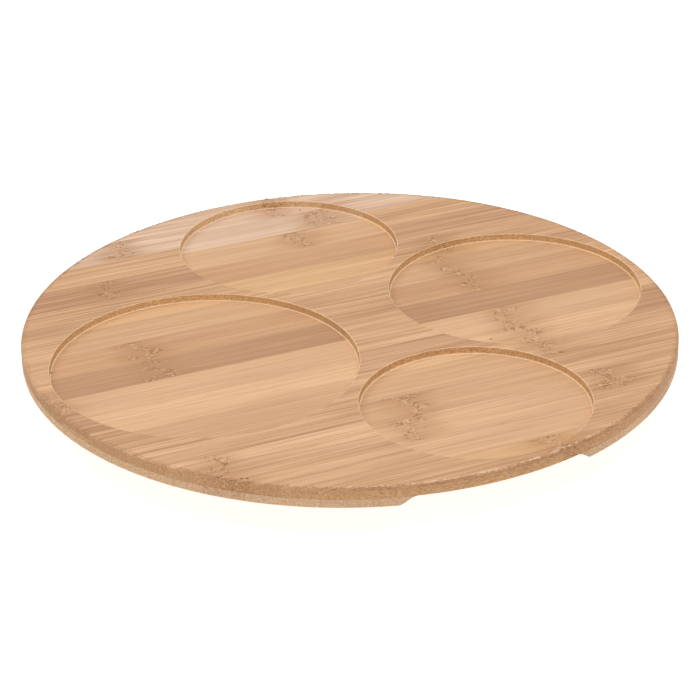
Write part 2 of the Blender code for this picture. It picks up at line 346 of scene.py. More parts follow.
# %% [markdown]
# ## Torn fibres along the edge
#
# Bamboo fibres are long and stiff. Where a cutter leaves the panel nearly along the grain, it
# lifts splinters and leaves a row of little teeth. Across the grain the same cut is clean.
#
# A Displace modifier pushes the edge inwards by a cloud texture. The texture is read in the
# space of an empty that is stretched across the grain, which gives teeth that point inwards. A
# vertex group says how much each point may tear.

# %% Tear the edges
GRAIN_TURN = radians(-3.4)  # from the line through the two widest seats
GRAIN = Vector((cos(GRAIN_TURN), sin(GRAIN_TURN), 0))
SLIVER = (1.1 * MM, 2.0 * MM, 2.0 * MM)  # a splinter's size along the grain and across it
RIM_TEETH = 1.1 * MM
MOUTH_TEETH = 0.25 * MM


def ramp(value, low, high):
    """0 below low, 1 above high, and an even rise between them."""
    return min(max((value - low) / (high - low), 0), 1)


def along_grain(middle_x, middle_y, point):
    """How nearly a round edge about this middle runs along the grain at a point, from 0 to 1."""
    out = Vector((point.x - middle_x, point.y - middle_y, 0)).normalized()
    return sqrt(max(1 - out.dot(GRAIN) ** 2, 0))


def weigh(piece, name, weight_of):
    group = piece.vertex_groups.new(name=name)
    for v in piece.data.vertices:
        weight = weight_of(v.co)
        if weight > 0:
            group.add([v.index], weight, "REPLACE")


def tear(piece, group, depth, seed_shift):
    """Pushes the points of a group inwards by up to this depth."""
    bpy.ops.object.empty_add(location=(seed_shift, 0, 0), rotation=(0, 0, GRAIN_TURN))
    stretch = bpy.context.active_object
    stretch.scale = SLIVER
    bpy.context.view_layer.update()
    clouds = bpy.data.textures.new("splinters", "CLOUDS")
    clouds.noise_scale = 1
    clouds.noise_depth = 2
    clouds.contrast = 1.8
    apply_modifier(
        piece,
        "DISPLACE",
        texture=clouds,
        texture_coords="OBJECT",
        texture_coords_object=stretch,
        vertex_group=group,
        direction="NORMAL",
        mid_level=1,
        strength=depth,
    )
    bpy.data.objects.remove(stretch)
    bpy.data.textures.remove(clouds)


def rim_tear(point):
    """Tearing belongs to the rounded edge and fades over the band inside it."""
    r = point.xy.length
    low = ramp(point.z, SERVING_HIGH - EDGE_ROUND - NEAR, SERVING_HIGH - EDGE_ROUND / 2)
    if r > BOARD_R - NEAR:
        low *= 0.4
    inner = ramp(r, BOARD_R - 3.6 * MM, BOARD_R - 1.4 * MM)
    return low * inner * (0.08 + 0.92 * ramp(along_grain(0, 0, point), 0.72, 0.97))


def mouth_tear(point):
    if point.z < SERVING_HIGH - MOUTH_ROUND:
        return 0
    for x, y, radius in SEATS:
        if radius - MM < (point.xy - Vector((x, y))).length < radius + MOUTH_ROUND + MM:
            return 0.25 + 0.75 * ramp(along_grain(x, y, point), 0.6, 0.95)
    return 0


weigh(serving, "rim", rim_tear)
weigh(serving, "mouths", mouth_tear)
tear(serving, "rim", RIM_TEETH, 0)
tear(serving, "mouths", MOUTH_TEETH, 0.3)
smooth(serving)
print("The rim is torn by up to", RIM_TEETH / MM, "mm")

# %% [markdown]
# ## The backing board
#
# The lower layer is a thinner panel of the same strips, turned a quarter so that the two layers
# hold each other flat. Two finger grips are routed out of its rim with a round-over bit.
#
# The cutter for a grip starts as a slab as wide as the grip's foot. Insets that also rise turn
# it into the shape that the bit leaves: an S from the lower face up to the glue joint.
#
# The panel reaches up to the layer above it, and stops just short, so the glue joint shows as a
# fine line.

# %% Shape the backing board
GLUE_LINE = 0.08 * MM
GRIP_STEPS = 12
GRIP_FOOT = 10.5 * MM  # how far the wall's S runs out
GRIP_TURN = radians(-2)
GRIP_CORNER = 12 * MM
BACKING_EDGE = 1.5 * MM
BACKING_TOP = SERVING_LOW - GLUE_LINE
to_grip = Matrix.Rotation(-GRIP_TURN, 3, "Z")
front_top = points_of(
    "backing_board", lambda p: abs(p.z - BACKING_HIGH) < NEAR and p.y < -0.85 * BOARD_R
)
grip_top = [to_grip @ p for p in front_top]
GRIP_END = min(-p.y for p in grip_top if abs(p.x) < BOARD_R / 6)
GRIP_HALF = max(abs(p.x) for p in grip_top if p.xy.length < BOARD_R - MM)
print("A grip is", round(2 * GRIP_HALF / MM), "mm wide and ends", round(GRIP_END / MM), "mm out")


def grip_cutter(side):
    """The space of a finger grip. Side is -1 at the front and 1 at the back."""
    inner, outer = GRIP_END - GRIP_FOOT, BOARD_R + GRIP_CORNER
    sides = (2 * (GRIP_HALF + GRIP_FOOT), outer - inner, 2 * MM)
    cutter = add_block("grip_cutter", sides, (0, side * (inner + outer) / 2, BACKING_LOW - MM))
    edit(cutter)
    pick(cutter, "edges", lambda p: abs(p.z - BACKING_LOW + MM) < NEAR and abs(p.y) < BOARD_R)
    bpy.ops.mesh.bevel(offset=GRIP_CORNER + GRIP_FOOT, segments=16, affect="EDGES")
    pick(cutter, "faces", lambda p: abs(p.z - BACKING_LOW) < NEAR)
    height = BACKING_TOP - BACKING_LOW
    for i in range(GRIP_STEPS):
        before, after = i / GRIP_STEPS, (i + 1) / GRIP_STEPS
        rise = (3 * after**2 - 2 * after**3) - (3 * before**2 - 2 * before**3)
        bpy.ops.mesh.inset(thickness=GRIP_FOOT / GRIP_STEPS, depth=height * rise)
    bpy.ops.mesh.extrude_region_move(TRANSFORM_OT_translate={"value": (0, 0, PAST)})
    leave_edit()
    cutter.rotation_euler.z = GRIP_TURN
    return cutter


def straight_hole(radius, low, high):
    """The outline of a hole that goes right through."""
    return [(0, low - MM), (radius, low - MM), (radius, high + MM), (0, high + MM)]


backing = add_disc("backing_board_panel", BOARD_R, BACKING_LOW, BACKING_TOP, RIM_SIDES // 2)
round_rim(backing, BACKING_LOW, BACKING_EDGE, 5)
cut_away(backing, grip_cutter(-1))
cut_away(backing, grip_cutter(1))
drill(backing, straight_hole(PILOT_R + SCREW_GAP, BACKING_LOW, BACKING_TOP), "board_screw")
smooth(backing)
print("The backing board has", len(backing.data.polygons), "faces")

# %% [markdown]
# ## The base
#
# A smaller bamboo disc stays on the table. Both of its edges are rounded over with the same bit,
# and four countersunk holes take the screws that hold the bearing.

# %% Shape the base
BASE_EDGE = 1.5 * MM
BASE_SHANK_R = 2 * MM
BASE_HEAD_T = 2.2 * MM
BOARD_HEAD_T = 1.9 * MM
HEAD_RIM = 0.2 * MM  # the upright edge of a screw's head


def sunk_hole(low, top, head_low, shank_r, head_r, head_t):
    """A clear hole with a countersink at the bottom, from below low to above top."""
    cone = head_low + HEAD_RIM + SCREW_GAP / 2
    return [
        (0, low - MM),
        (head_r + SCREW_GAP, low - MM),
        (head_r + SCREW_GAP, cone),
        (shank_r + SCREW_GAP, cone + head_t),
        (shank_r + SCREW_GAP, top + MM),
        (0, top + MM),
    ]


def rounded_disc(radius, low, high, edge, steps):
    """Half the outline of a disc with both edges rounded over."""
    lower = arc(radius - edge, low + edge, edge, -90, 0, steps)
    upper = arc(radius - edge, high - edge, edge, 0, 90, steps)
    return [(0, low), *lower, *upper, (0, high)]


base = add_turned("base_disc_panel", rounded_disc(BASE_R, BASE_LOW, BASE_HIGH, BASE_EDGE, 6), 360)
hole = sunk_hole(BASE_LOW, BASE_HIGH, BASE_SCREW_LOW, BASE_SHANK_R, BASE_HEAD_R, BASE_HEAD_T)
drill(base, hole, "base_screw")
smooth(base)
print("The base has", len(base.data.polygons), "faces")

# %% [markdown]
# ## The bearing
#
# Two aluminium rings are turned on a lathe, so they are turned here too: a closed outline spun
# round the axis. Each has a groove of a slightly larger radius than the balls, which touch it
# along one line. The nylon cage between the rings is a thin band with a round pocket per ball.

# %% Turn the two rings
RING_EDGE = 0.4 * MM
RACE_R = BALL_R + 0.3 * MM
RING_SIDES = 288


def race_groove(side, wall):
    """The groove's arc from bottom to top. Side is 1 in the outer ring and -1 in the inner."""
    half_gap = abs(wall - BALL_CIRCLE_R)
    half_height = sqrt(RACE_R**2 - half_gap**2)
    heights = [-half_height * cos(pi * i / 18) for i in range(19)]
    depths = [sqrt(max(RACE_R**2 - h**2, half_gap**2)) for h in heights]
    return [(BALL_CIRCLE_R + side * d, BALL_MIDDLE.z + h) for d, h in zip(depths, heights)]


outer_outline = [
    (OUTER_BORE + RING_EDGE / 2, OUTER_LOW),
    *arc(OUTER_RING_R - RING_EDGE, OUTER_LOW + RING_EDGE, RING_EDGE, -90, 0, 4),
    *arc(OUTER_RING_R - RING_EDGE, OUTER_HIGH - RING_EDGE, RING_EDGE, 0, 90, 4),
    (OUTER_BORE + RING_EDGE / 2, OUTER_HIGH),
    (OUTER_BORE, OUTER_HIGH - RING_EDGE / 2),
    *race_groove(1, OUTER_BORE)[::-1],
    (OUTER_BORE, OUTER_LOW + RING_EDGE / 2),
]
inner_outline = [
    (INNER_RING_R - RING_EDGE / 2, INNER_LOW),
    (INNER_RING_R, INNER_LOW + RING_EDGE / 2),
    *race_groove(-1, INNER_RING_R),
    (INNER_RING_R, INNER_HIGH - RING_EDGE / 2),
    (INNER_RING_R - RING_EDGE / 2, INNER_HIGH),
    *arc(INNER_BORE + RING_EDGE, INNER_HIGH - RING_EDGE, RING_EDGE, 90, 180, 4),
    *arc(INNER_BORE + RING_EDGE, INNER_LOW + RING_EDGE, RING_EDGE, 180, 270, 4),
]
outer_ring = add_turned("outer_ring_turned", outer_outline, RING_SIDES, closed=True)
inner_ring = add_turned("inner_ring_turned", inner_outline, RING_SIDES, closed=True)

# %% [markdown]
# The outer ring takes the base's screws, and the inner ring has countersunk holes for the
# board's. The balls go in through a round hole in the outer ring's side, which a plug closes.

# %% Drill the rings
drill(outer_ring, straight_hole(BASE_SHANK_R + SCREW_GAP, OUTER_LOW, OUTER_HIGH), "base_screw")
hole = sunk_hole(INNER_LOW, INNER_HIGH, BOARD_SCREW_LOW, PILOT_R, BOARD_HEAD_R, BOARD_HEAD_T)
drill(inner_ring, hole, "board_screw")


def lying(piece, out):
    """Lays a piece that stands on the middle down along +X, at the balls' height."""
    use_only(piece)
    bpy.ops.transform.rotate(value=-pi / 2, orient_axis="Y", center_override=(0, 0, 0))
    piece.location += Vector((out, 0, BALL_MIDDLE.z))
    return settle(piece.name)


filling = add_disc("filling_cutter", PLUG_R + SCREW_GAP, 0, 14 * MM, 64)
cut_away(outer_ring, lying(filling, BALL_CIRCLE_R))
smooth(outer_ring)
smooth(inner_ring)
print("The rings have", len(outer_ring.data.polygons), "and", len(inner_ring.data.polygons), "faces")

# %% [markdown]
# The cage is a moulded band. Its pockets are bored by one lying cylinder, copied round the axis
# to each ball, and its edges are broken by a fine bevel that is part of the turned outline.

# %% Make the ball cage
CAGE_EDGE = (0.1 * MM, 0.15 * MM)  # the bevel's width and height
POCKET_R = BALL_R + 0.3 * MM
cage_outline = [
    (CAGE_BORE + CAGE_EDGE[0], CAGE_LOW),
    (CAGE_R - CAGE_EDGE[0], CAGE_LOW),
    (CAGE_R, CAGE_LOW + CAGE_EDGE[1]),
    (CAGE_R, CAGE_HIGH - CAGE_EDGE[1]),
    (CAGE_R - CAGE_EDGE[0], CAGE_HIGH),
    (CAGE_BORE + CAGE_EDGE[0], CAGE_HIGH),
    (CAGE_BORE, CAGE_HIGH - CAGE_EDGE[1]),
    (CAGE_BORE, CAGE_LOW + CAGE_EDGE[1]),
]
cage = add_turned("ball_cage_band", cage_outline, 320, closed=True)
BALL_COUNT = sum(name.startswith("bearing_ball_") for name in frame["nodes"])
pocket = lying(add_disc("pocket_cutter", POCKET_R, -2 * MM, 2 * MM, 48), BALL_CIRCLE_R)
for i in range(BALL_COUNT):
    cut_away(cage, copy_of(pocket, f"pocket_cutter_{i}", 2 * pi * i / BALL_COUNT))
bpy.data.objects.remove(pocket)
smooth(cage)
print("The cage has", BALL_COUNT, "pockets and", len(cage.data.polygons), "faces")

# %% [markdown]
# A ball is ground between plates until it is the same all over. A sphere primitive has poles,
# where a shine would pinch, so the ball starts as a cube that is divided and blown up round.

# %% Make the balls
BALL_CUTS = 11
first_ball = add_block("polished_ball_01", (2 * BALL_R,) * 3)
edit(first_ball)
bpy.ops.mesh.select_all(action="SELECT")
bpy.ops.mesh.subdivide(number_cuts=BALL_CUTS)
bpy.ops.transform.tosphere(value=1)
leave_edit()
reach = max(v.co.length for v in first_ball.data.vertices)
first_ball.scale = (BALL_R / reach,) * 3
first_ball.location = BALL_MIDDLE
settle("polished_ball_01")
first_ball.data.shade_smooth()
balls = [first_ball]
for i in range(1, BALL_COUNT):
    balls.append(copy_of(first_ball, f"polished_ball_{i + 1:02}", 2 * pi * i / BALL_COUNT))
print(len(balls), "balls of", len(first_ball.data.polygons), "faces")

# %% [markdown]
# ## The fasteners
#
# A countersunk screw is turned, its thread is rolled, and its cross recess is pressed by a
# tapered punch. The thread is a closed triangle that the Screw modifier winds up the shank, and
# a Boolean joins the two.

# %% Helpers for screws
THREAD_DEPTH = 0.14  # as a share of the outer radius
PUNCH_TAPER = 0.62
PUNCH_WIDTH = 0.8 * MM
PUNCH_DEPTH = 1.3 * MM


def add_thread(core_r, outer_r, pitch, low, turns):
    """A ridge wound round Z, with closed ends."""
    root = core_r - 0.12 * MM
    tooth = [(root, low), (outer_r, low + 0.42 * pitch), (root, low + 0.84 * pitch)]
    ridge = draw("thread", tooth, closed=True)
    leave_edit()
    apply_modifier(
        ridge,
        "SCREW",
        screw_offset=pitch,
        iterations=turns,
        steps=32,
        render_steps=32,
        merge_threshold=NEAR / 10,
    )
    edit(ridge)
    bpy.ops.mesh.select_all(action="SELECT")
    bpy.ops.mesh.fill_holes(sides=0)
    bpy.ops.mesh.select_all(action="SELECT")
    bpy.ops.mesh.normals_make_consistent(inside=False)
    leave_edit()
    return ridge


def punch(length, width, depth):
    """One bar of the cross recess, narrower at its bottom."""
    bar = add_block("punch", (length, width, 2 * depth))
    edit(bar)
    pick(bar, "faces", lambda p: p.z > 0.9 * depth)
    bpy.ops.transform.resize(value=(PUNCH_TAPER, PUNCH_TAPER, 1), center_override=(0, 0, depth))
    leave_edit()
    return bar


def add_screw(name, shank_r, head_r, head_t, length, tip, pitch, thread_low):
    """A countersunk screw that points up, with its head's flat face at height 0."""
    core = shank_r * (1 - THREAD_DEPTH)
    outline = [
        (0, 0),
        (head_r - 0.1 * MM, 0),
        (head_r, 0.08 * MM),
        (head_r, HEAD_RIM),
        (shank_r, HEAD_RIM + head_t),
        (shank_r, thread_low),
        (core, thread_low + 0.2 * MM),
        (core, length - tip),
        (core * 0.1, length),
        (0, length),
    ]
    piece = add_turned(name, outline, 48)
    turns = int((length - tip - thread_low) / pitch) - 1
    combine(piece, add_thread(core, shank_r, pitch, thread_low + 0.3 * MM, turns), "UNION")
    for turn in (0, pi / 2):
        bar = punch(1.2 * head_r, PUNCH_WIDTH, PUNCH_DEPTH)
        bar.rotation_euler.z = turn
        cut_away(piece, bar)
    smooth(piece, 30)
    return piece


def place_four(first, name, x, y, z):
    """Moves the first piece to its place and turns three copies of it round the axis."""
    first.location = (x, y, z)
    use_only(first)
    placed = [settle(f"{name}_1")]
    for i in FOUR[1:]:
        placed.append(copy_of(placed[0], f"{name}_{i}", pi / 2 * (i - 1)))
    print("Each", name, "has", len(first.data.polygons), "faces")
    return placed


# %% Make the screws
WOOD_THREAD = (2.6 * MM, 1.4 * MM, 4.2 * MM)  # the tip's length, the pitch, and where it starts
MACHINE_THREAD = (0.5 * MM, 0.7 * MM, 3.4 * MM)
board_length = BOARD_SCREW_HIGH - BOARD_SCREW_LOW
base_length = BASE_SCREW_HIGH - BASE_SCREW_LOW
wood_screw = add_screw(
    "wood_screw", PILOT_R, BOARD_HEAD_R, BOARD_HEAD_T, board_length, *WOOD_THREAD
)
board_screws = place_four(
    wood_screw, "wood_screw", *middle_of("board_screw_1").xy, BOARD_SCREW_LOW
)
machine_screw = add_screw(
    "machine_screw", BASE_SHANK_R, BASE_HEAD_R, BASE_HEAD_T, base_length, *MACHINE_THREAD
)
base_screws = place_four(
    machine_screw, "machine_screw", *middle_of("base_screw_1").xy, BASE_SCREW_LOW
)

# %% [markdown]
# The filling plug is a short threadless pin with a driver's slot across its outer end. It is
# made standing, as the screws are, and then laid down into its hole.

# %% Make the filling plug
plug_length = PLUG_HIGH - PLUG_LOW
plug_outline = [
    (0, 0),
    (PLUG_R - 0.3 * MM, 0),
    (PLUG_R, 0.3 * MM),
    (PLUG_R, plug_length - 0.2 * MM),
    (PLUG_R - 0.2 * MM, plug_length),
    (0, plug_length),
]
plug = add_turned("slotted_plug", plug_outline, 64)
slot = (3 * PLUG_R, 0.7 * MM, 2.4 * MM)
cut_away(plug, add_block("slot_cutter", slot, (0, 0, plug_length)))
smooth(plug)
plug = lying(plug, PLUG_LOW)
print("The plug has", len(plug.data.polygons), "faces")

# %% [markdown]
# ## The foot pads
#
# The pads are moulded rubber discs, glued under the base. A shallow dish in the middle leaves a
# round lip that grips the table.

# %% Make the foot pads
DISH = 0.45 * MM  # how deep the dish is
LIP = 0.6 * MM  # the round of the lip
pad_outline = [
    (0, DISH),
    (2.6 * MM, DISH),
    *arc(3.5 * MM, DISH, DISH, 180, 270, 4),
    *arc(PAD_R - LIP, LIP, LIP, -90, 0, 5),
    *arc(PAD_R - 0.15 * MM, BASE_LOW - 0.2 * MM, 0.15 * MM, 0, 90, 2),
    (0, BASE_LOW - 0.05 * MM),
]
first_pad = add_turned("rubber_pad", pad_outline, 72)
smooth(first_pad)
pads = place_four(first_pad, "rubber_pad", *middle_of("foot_pad_1").xy, 0)

# %% [markdown]
# ## Helpers for finishes
#
# A finish is a tree of nodes. These helpers add one node each, and set or link its inputs, so
# that a tree reads like a recipe.

# %% Helpers for nodes
def tone(code):
    """A colour as a designer writes it, such as D9B99C, in the linear values that nodes use."""
    parts = [int(code[i : i + 2], 16) / 255 for i in (0, 2, 4)]
    return (*[c / 12.92 if c <= 0.04045 else ((c + 0.055) / 1.055) ** 2.4 for c in parts], 1)


def join(tree, socket, value):
    if isinstance(value, bpy.types.NodeSocket):
        tree.links.new(value, socket)
    elif value is not None:
        socket.default_value = value


def calc(tree, operation, a, b=None, c=None):
    made = tree.nodes.new("ShaderNodeMath")
    made.operation = operation
    for socket, value in zip(made.inputs, (a, b, c)):
        join(tree, socket, value)
    return made.outputs[0]


def times(tree, a, b):
    return calc(tree, "MULTIPLY", a, b)


def opposite(tree, mask):
    return calc(tree, "SUBTRACT", 1.0, mask)


def remap(tree, value, low, high, to_low=0.0, to_high=1.0):
    """A soft step: to_low below low, to_high above high."""
    made = tree.nodes.new("ShaderNodeMapRange")
    made.interpolation_type = "SMOOTHSTEP"
    for name, part in zip(
        ("Value", "From Min", "From Max", "To Min", "To Max"), (value, low, high, to_low, to_high)
    ):
        join(tree, made.inputs[name], part)
    return made.outputs[0]


def mix(tree, factor, a, b, blend="MIX"):
    made = tree.nodes.new("ShaderNodeMix")
    made.data_type = "RGBA"
    made.blend_type = blend
    for index, value in ((0, factor), (6, a), (7, b)):
        join(tree, made.inputs[index], value)
    return made.outputs[2]


def vector(tree, operation, *values):
    """A Vector Math node. Its outputs are the vector and, for some operations, a value."""
    made = tree.nodes.new("ShaderNodeVectorMath")
    made.operation = operation
    for socket, value in zip(made.inputs, values):
        join(tree, socket, value)
    return made.outputs


def split(tree, place):
    made = tree.nodes.new("ShaderNodeSeparateXYZ")
    join(tree, made.inputs[0], place)
    return made.outputs


def from_axis(tree, place):
    """How far a place is from the Z axis."""
    flat = vector(tree, "MULTIPLY", place, (1, 1, 0))["Vector"]
    return vector(tree, "LENGTH", flat)["Value"]


def noise(tree, place, scale, detail=2.0, roughness=0.5, distortion=0.0):
    """Cloudy values about 0.5. Scale is how many clouds fit in a metre, along each axis."""
    made = tree.nodes.new("ShaderNodeTexNoise")
    join(tree, made.inputs["Vector"], vector(tree, "MULTIPLY", place, scale)["Vector"])
    made.inputs["Scale"].default_value = 1.0
    made.inputs["Detail"].default_value = detail
    made.inputs["Roughness"].default_value = roughness
    made.inputs["Distortion"].default_value = distortion
    return made.outputs[0]


def new_group(name, inputs, outputs):
    """A shader node group with vector or float inputs and float outputs."""
    tree = bpy.data.node_groups.new(name, "ShaderNodeTree")
    for label, kind in inputs:
        tree.interface.new_socket(label, in_out="INPUT", socket_type=f"NodeSocket{kind}")
    for label in outputs:
        tree.interface.new_socket(label, in_out="OUTPUT", socket_type="NodeSocketFloat")
    return tree, tree.nodes.new("NodeGroupInput").outputs, tree.nodes.new("NodeGroupOutput").inputs


def use_group(tree, group, **inputs):
    """Places a group. An input's name is written with _ for each space."""
    made = tree.nodes.new("ShaderNodeGroup")
    made.node_tree = group
    for name, value in inputs.items():
        join(tree, made.inputs[name.replace("_", " ")], value)
    return made.outputs


def new_finish(name, **constants):
    """A material with one Principled shader. Constants are set straight on its sockets."""
    finish = bpy.data.materials.new(name)
    finish.use_nodes = True
    tree = finish.node_tree
    shader = next(n for n in tree.nodes if n.type == "BSDF_PRINCIPLED")
    for label, value in constants.items():
        shader.inputs[label.replace("_", " ")].default_value = value
    place = tree.nodes.new("ShaderNodeTexCoord").outputs["Object"]
    return finish, tree, shader, place


def bump(tree, shader, height, distance, strength=1.0):
    made = tree.nodes.new("ShaderNodeBump")
    made.inputs["Strength"].default_value = strength
    made.inputs["Distance"].default_value = distance
    join(tree, made.inputs["Height"], height)
    join(tree, shader.inputs["Normal"], made.outputs[0])


def stain(tree, colour, mask, strength, code):
    """Mixes another colour in where a mask is high."""
    return mix(tree, times(tree, mask, strength), colour, tone(code))


# %% [markdown]
# ## The grain of bamboo
#
# A bamboo panel is strips about 23 mm wide. Each strip comes from another cane, so it has its
# own tone. Inside a strip, thin fibres run its whole length: they show as fine dark streaks on
# the faces along the grain, and as dots where the fibres end.
#
# One group makes all of that from a place in the panel. Its noise is stretched along the grain
# in all three directions, so streaks and dots come from the same pattern, and every strip shifts
# that pattern by its own number.

# %% Make the grain group
def make_grain_group():
    tree, given, made = new_group(
        "Bamboo grain",
        [("Place", "Vector"), ("Strip Width", "Float"), ("First Joint", "Float")],
        ["Number", "Along", "Fibres", "Streaks", "Bands", "Dashes", "Drift", "Joint", "Dots"],
    )
    axes = split(tree, given["Place"])
    beyond = calc(tree, "SUBTRACT", axes[1], given["First Joint"])
    steps = calc(tree, "DIVIDE", beyond, given["Strip Width"])
    number = calc(tree, "FLOOR", steps)
    across = calc(tree, "FRACT", steps)
    jump = tree.nodes.new("ShaderNodeCombineXYZ")
    join(tree, jump.inputs[0], times(tree, number, 1.37))
    join(tree, jump.inputs[2], times(tree, number, 0.053))
    own = vector(tree, "ADD", given["Place"], jump.outputs[0])["Vector"]
    join(tree, made["Number"], number)
    join(tree, made["Along"], axes[0])
    join(tree, made["Fibres"], noise(tree, own, (16, 1500, 900), 3, 0.6))
    join(tree, made["Streaks"], noise(tree, own, (8, 520, 300), 2, 0.6))
    join(tree, made["Bands"], noise(tree, own, (5, 170, 120), 2, 0.5))
    join(tree, made["Dashes"], remap(tree, noise(tree, own, (60, 1500, 900), 1, 0.5), 0.6, 0.74))
    join(tree, made["Drift"], noise(tree, own, (7, 22, 22), 1, 0.5))
    edge = calc(tree, "MINIMUM", across, opposite(tree, across))
    join(tree, made["Joint"], remap(tree, edge, 0.003, 0.012, 1.0, 0.0))
    join(tree, made["Dots"], noise(tree, own, (500, 1500, 1500), 1, 0.5))
    return tree


grain_group = make_grain_group()
given_out = [s.name for s in grain_group.interface.items_tree if s.in_out == "OUTPUT"]
print(grain_group.name, "gives", given_out)

# %% [markdown]
# ## The nodes of the cane
#
# Every hand's width or so a cane has a node, where its wall is knotted. Sanding cuts through the
# knot and leaves a band of curly marks across the strip, pale tufts beside dark pits, inside a
# soft brown shade. The band's outline wanders, so its distance is bent by noise first.

# %% Make the node group
NODE_WANDER = 7 * MM
NODE_BAND = (3 * MM, 7.5 * MM)  # how far out its marks are full, and where they end
NODE_SHADE = (2 * MM, 24 * MM)


def make_knot_group():
    tree, given, made = new_group(
        "Cane node",
        [("Place", "Vector"), ("Along", "Float"), ("Node At", "Float")],
        ["Mark", "Curl", "Shade"],
    )
    wander = noise(tree, given["Place"], (40, 110, 110), 2)
    wander = remap(tree, wander, 0.3, 0.7, -NODE_WANDER, NODE_WANDER)
    away = calc(tree, "SUBTRACT", given["Along"], given["Node At"])
    bent = calc(tree, "ABSOLUTE", calc(tree, "ADD", away, wander))
    patches = remap(tree, noise(tree, given["Place"], (140, 240, 240), 2), 0.34, 0.52, 0.25, 1.0)
    band = remap(tree, bent, *NODE_BAND, 1.0, 0.0)
    join(tree, made["Mark"], times(tree, band, patches))
    join(tree, made["Curl"], noise(tree, given["Place"], (460, 400, 400), 2, 0.6, 1.8))
    soft = calc(tree, "ABSOLUTE", calc(tree, "ADD", away, times(tree, wander, 0.7)))
    join(tree, made["Shade"], remap(tree, soft, *NODE_SHADE, 1.0, 0.0))
    return tree


knot_group = make_knot_group()
print("The nodes' marks end", NODE_BAND[1] / MM, "mm from the middle of a node")

# %% [markdown]
# ## Bamboo as a finish
#
# `STRIPS` is the cutting list of the serving board, from the front to the back: each strip's
# tone on the sanded top, its tone in the floor of a bowl seat, which lies deeper in the cane's
# wall and is often paler, and where its nodes lie along it, in mm from the middle.
#
# A colour ramp with constant steps looks a tone up by the strip's number. A third ramp holds the
# places of up to three nodes as its red, green and blue, because a ramp carries any three
# numbers.

# %% Write the cutting list
STRIP_WIDTH = 23.1 * MM
FIRST_JOINT = 14.2 * MM
NO_NODE = -300  # a place far off the board
TONES = {
    "cream": tone("DCBA9E"),
    "pale": tone("DDB389"),
    "light": tone("D7AD85"),
    "warm": tone("D9AD80"),
    "mid": tone("D0A57D"),
    "tan": tone("CA9D75"),
    "brown": tone("C49773"),
    "dark": tone("BB8F6B"),
}
STRIPS = [
    ("mid", "warm", ()),
    ("mid", "warm", (41,)),
    ("mid", "light", (-119,)),
    ("light", "light", (-118, -14, 98)),
    ("mid", "mid", (-6,)),
    ("mid", "mid", (86,)),
    ("brown", "pale", (83,)),
    ("light", "light", (86, -172)),
    ("mid", "dark", (-108,)),
    ("mid", "tan", (-109, 88)),
    ("mid", "mid", (84,)),
    ("mid", "warm", (88,)),
    ("brown", "tan", (-104,)),
    ("mid", "light", (22,)),
    ("cream", "cream", (43, -80)),
    ("cream", "cream", (22,)),
]
FIRST_NUMBER = -9  # the number of the first strip in the list
print(len(STRIPS), "strips in", len(TONES), "tones")


def look_up(tree, number, colours):
    """Steps through a list of colours by number, with the first colour at FIRST_NUMBER."""
    made = tree.nodes.new("ShaderNodeValToRGB")
    steps = made.color_ramp
    steps.interpolation = "CONSTANT"
    while len(steps.elements) < len(colours):
        steps.elements.new(1)
    for i, colour in enumerate(colours):
        steps.elements[i].position = i / len(colours)
        steps.elements[i].color = colour
    share = calc(tree, "DIVIDE", calc(tree, "SUBTRACT", number, FIRST_NUMBER - 0.5), len(colours))
    join(tree, made.inputs[0], share)
    return made.outputs[0]


def node_codes(strip):
    """The places of a strip's nodes as three numbers from 0 to 1, for a colour ramp."""
    places = [*strip[2], NO_NODE, NO_NODE, NO_NODE][:3]
    return (*[mm * MM / (4 * BOARD_R) + 0.5 for mm in places], 1)


# %% [markdown]
# The finish itself layers what the eye sees, from large to small: the strip's tone, its slow
# drift, bands, streaks and fibres, the nodes, and the glue joint. The grain multiplies the tone
# by values on both sides of one, so a strip keeps its own tone on average.
#
# Cut faces come last. A wall cut by the router is warmer than a sanded face, because its open
# pores drink more oil, and it is finely stippled where fibres end. Near the rim of the top and
# the base the walls are tinted darker, which is painted shade. The rounded mouths of the seats
# get a painted highlight, a paler line along their edge, and along the rim the torn fibres leave
# a darker, toothed band.

# %% Make the bamboo finish
PINHOLES = [(61.4, -44.9), (-158.4, 32.0), (46.6, 154.0), (-121.0, -121.4), (-118.5, -122.7)]
PINHOLE = (0.35 * MM, 0.8 * MM)  # a hole's dark middle, and where its shade ends
RIM_MASK = (3 * MM, 2 * MM)  # from how far inside the rim a wall counts as the rim's
GRAIN_LAYERS = [  # each with its soft step, and what multiplies the tone above and below it
    ("Drift", 0.3, 0.7, (0.92, 0.9, 0.89), (1.06, 1.08, 1.09)),
    ("Bands", 0.34, 0.66, (0.94, 0.92, 0.9), (1.04, 1.05, 1.06)),
    ("Streaks", 0.36, 0.64, (0.87, 0.83, 0.8), (1.08, 1.09, 1.11)),
    ("Fibres", 0.36, 0.64, (0.86, 0.82, 0.78), (1.08, 1.1, 1.12)),
]


def turned_place(tree, place, angle):
    """Turns the pattern so that its first axis runs along the grain."""
    made = tree.nodes.new("ShaderNodeMapping")
    made.vector_type = "TEXTURE"
    made.inputs["Rotation"].default_value = (0, 0, angle)
    join(tree, made.inputs["Vector"], place)
    return made.outputs[0]


def shade_by(tree, colour, value, low, high, dark, pale):
    """Multiplies a colour by dark where a value is high and by pale where it is low."""
    factor = mix(tree, remap(tree, value, low, high), (*pale, 1), (*dark, 1))
    return mix(tree, 1.0, colour, factor, "MULTIPLY")


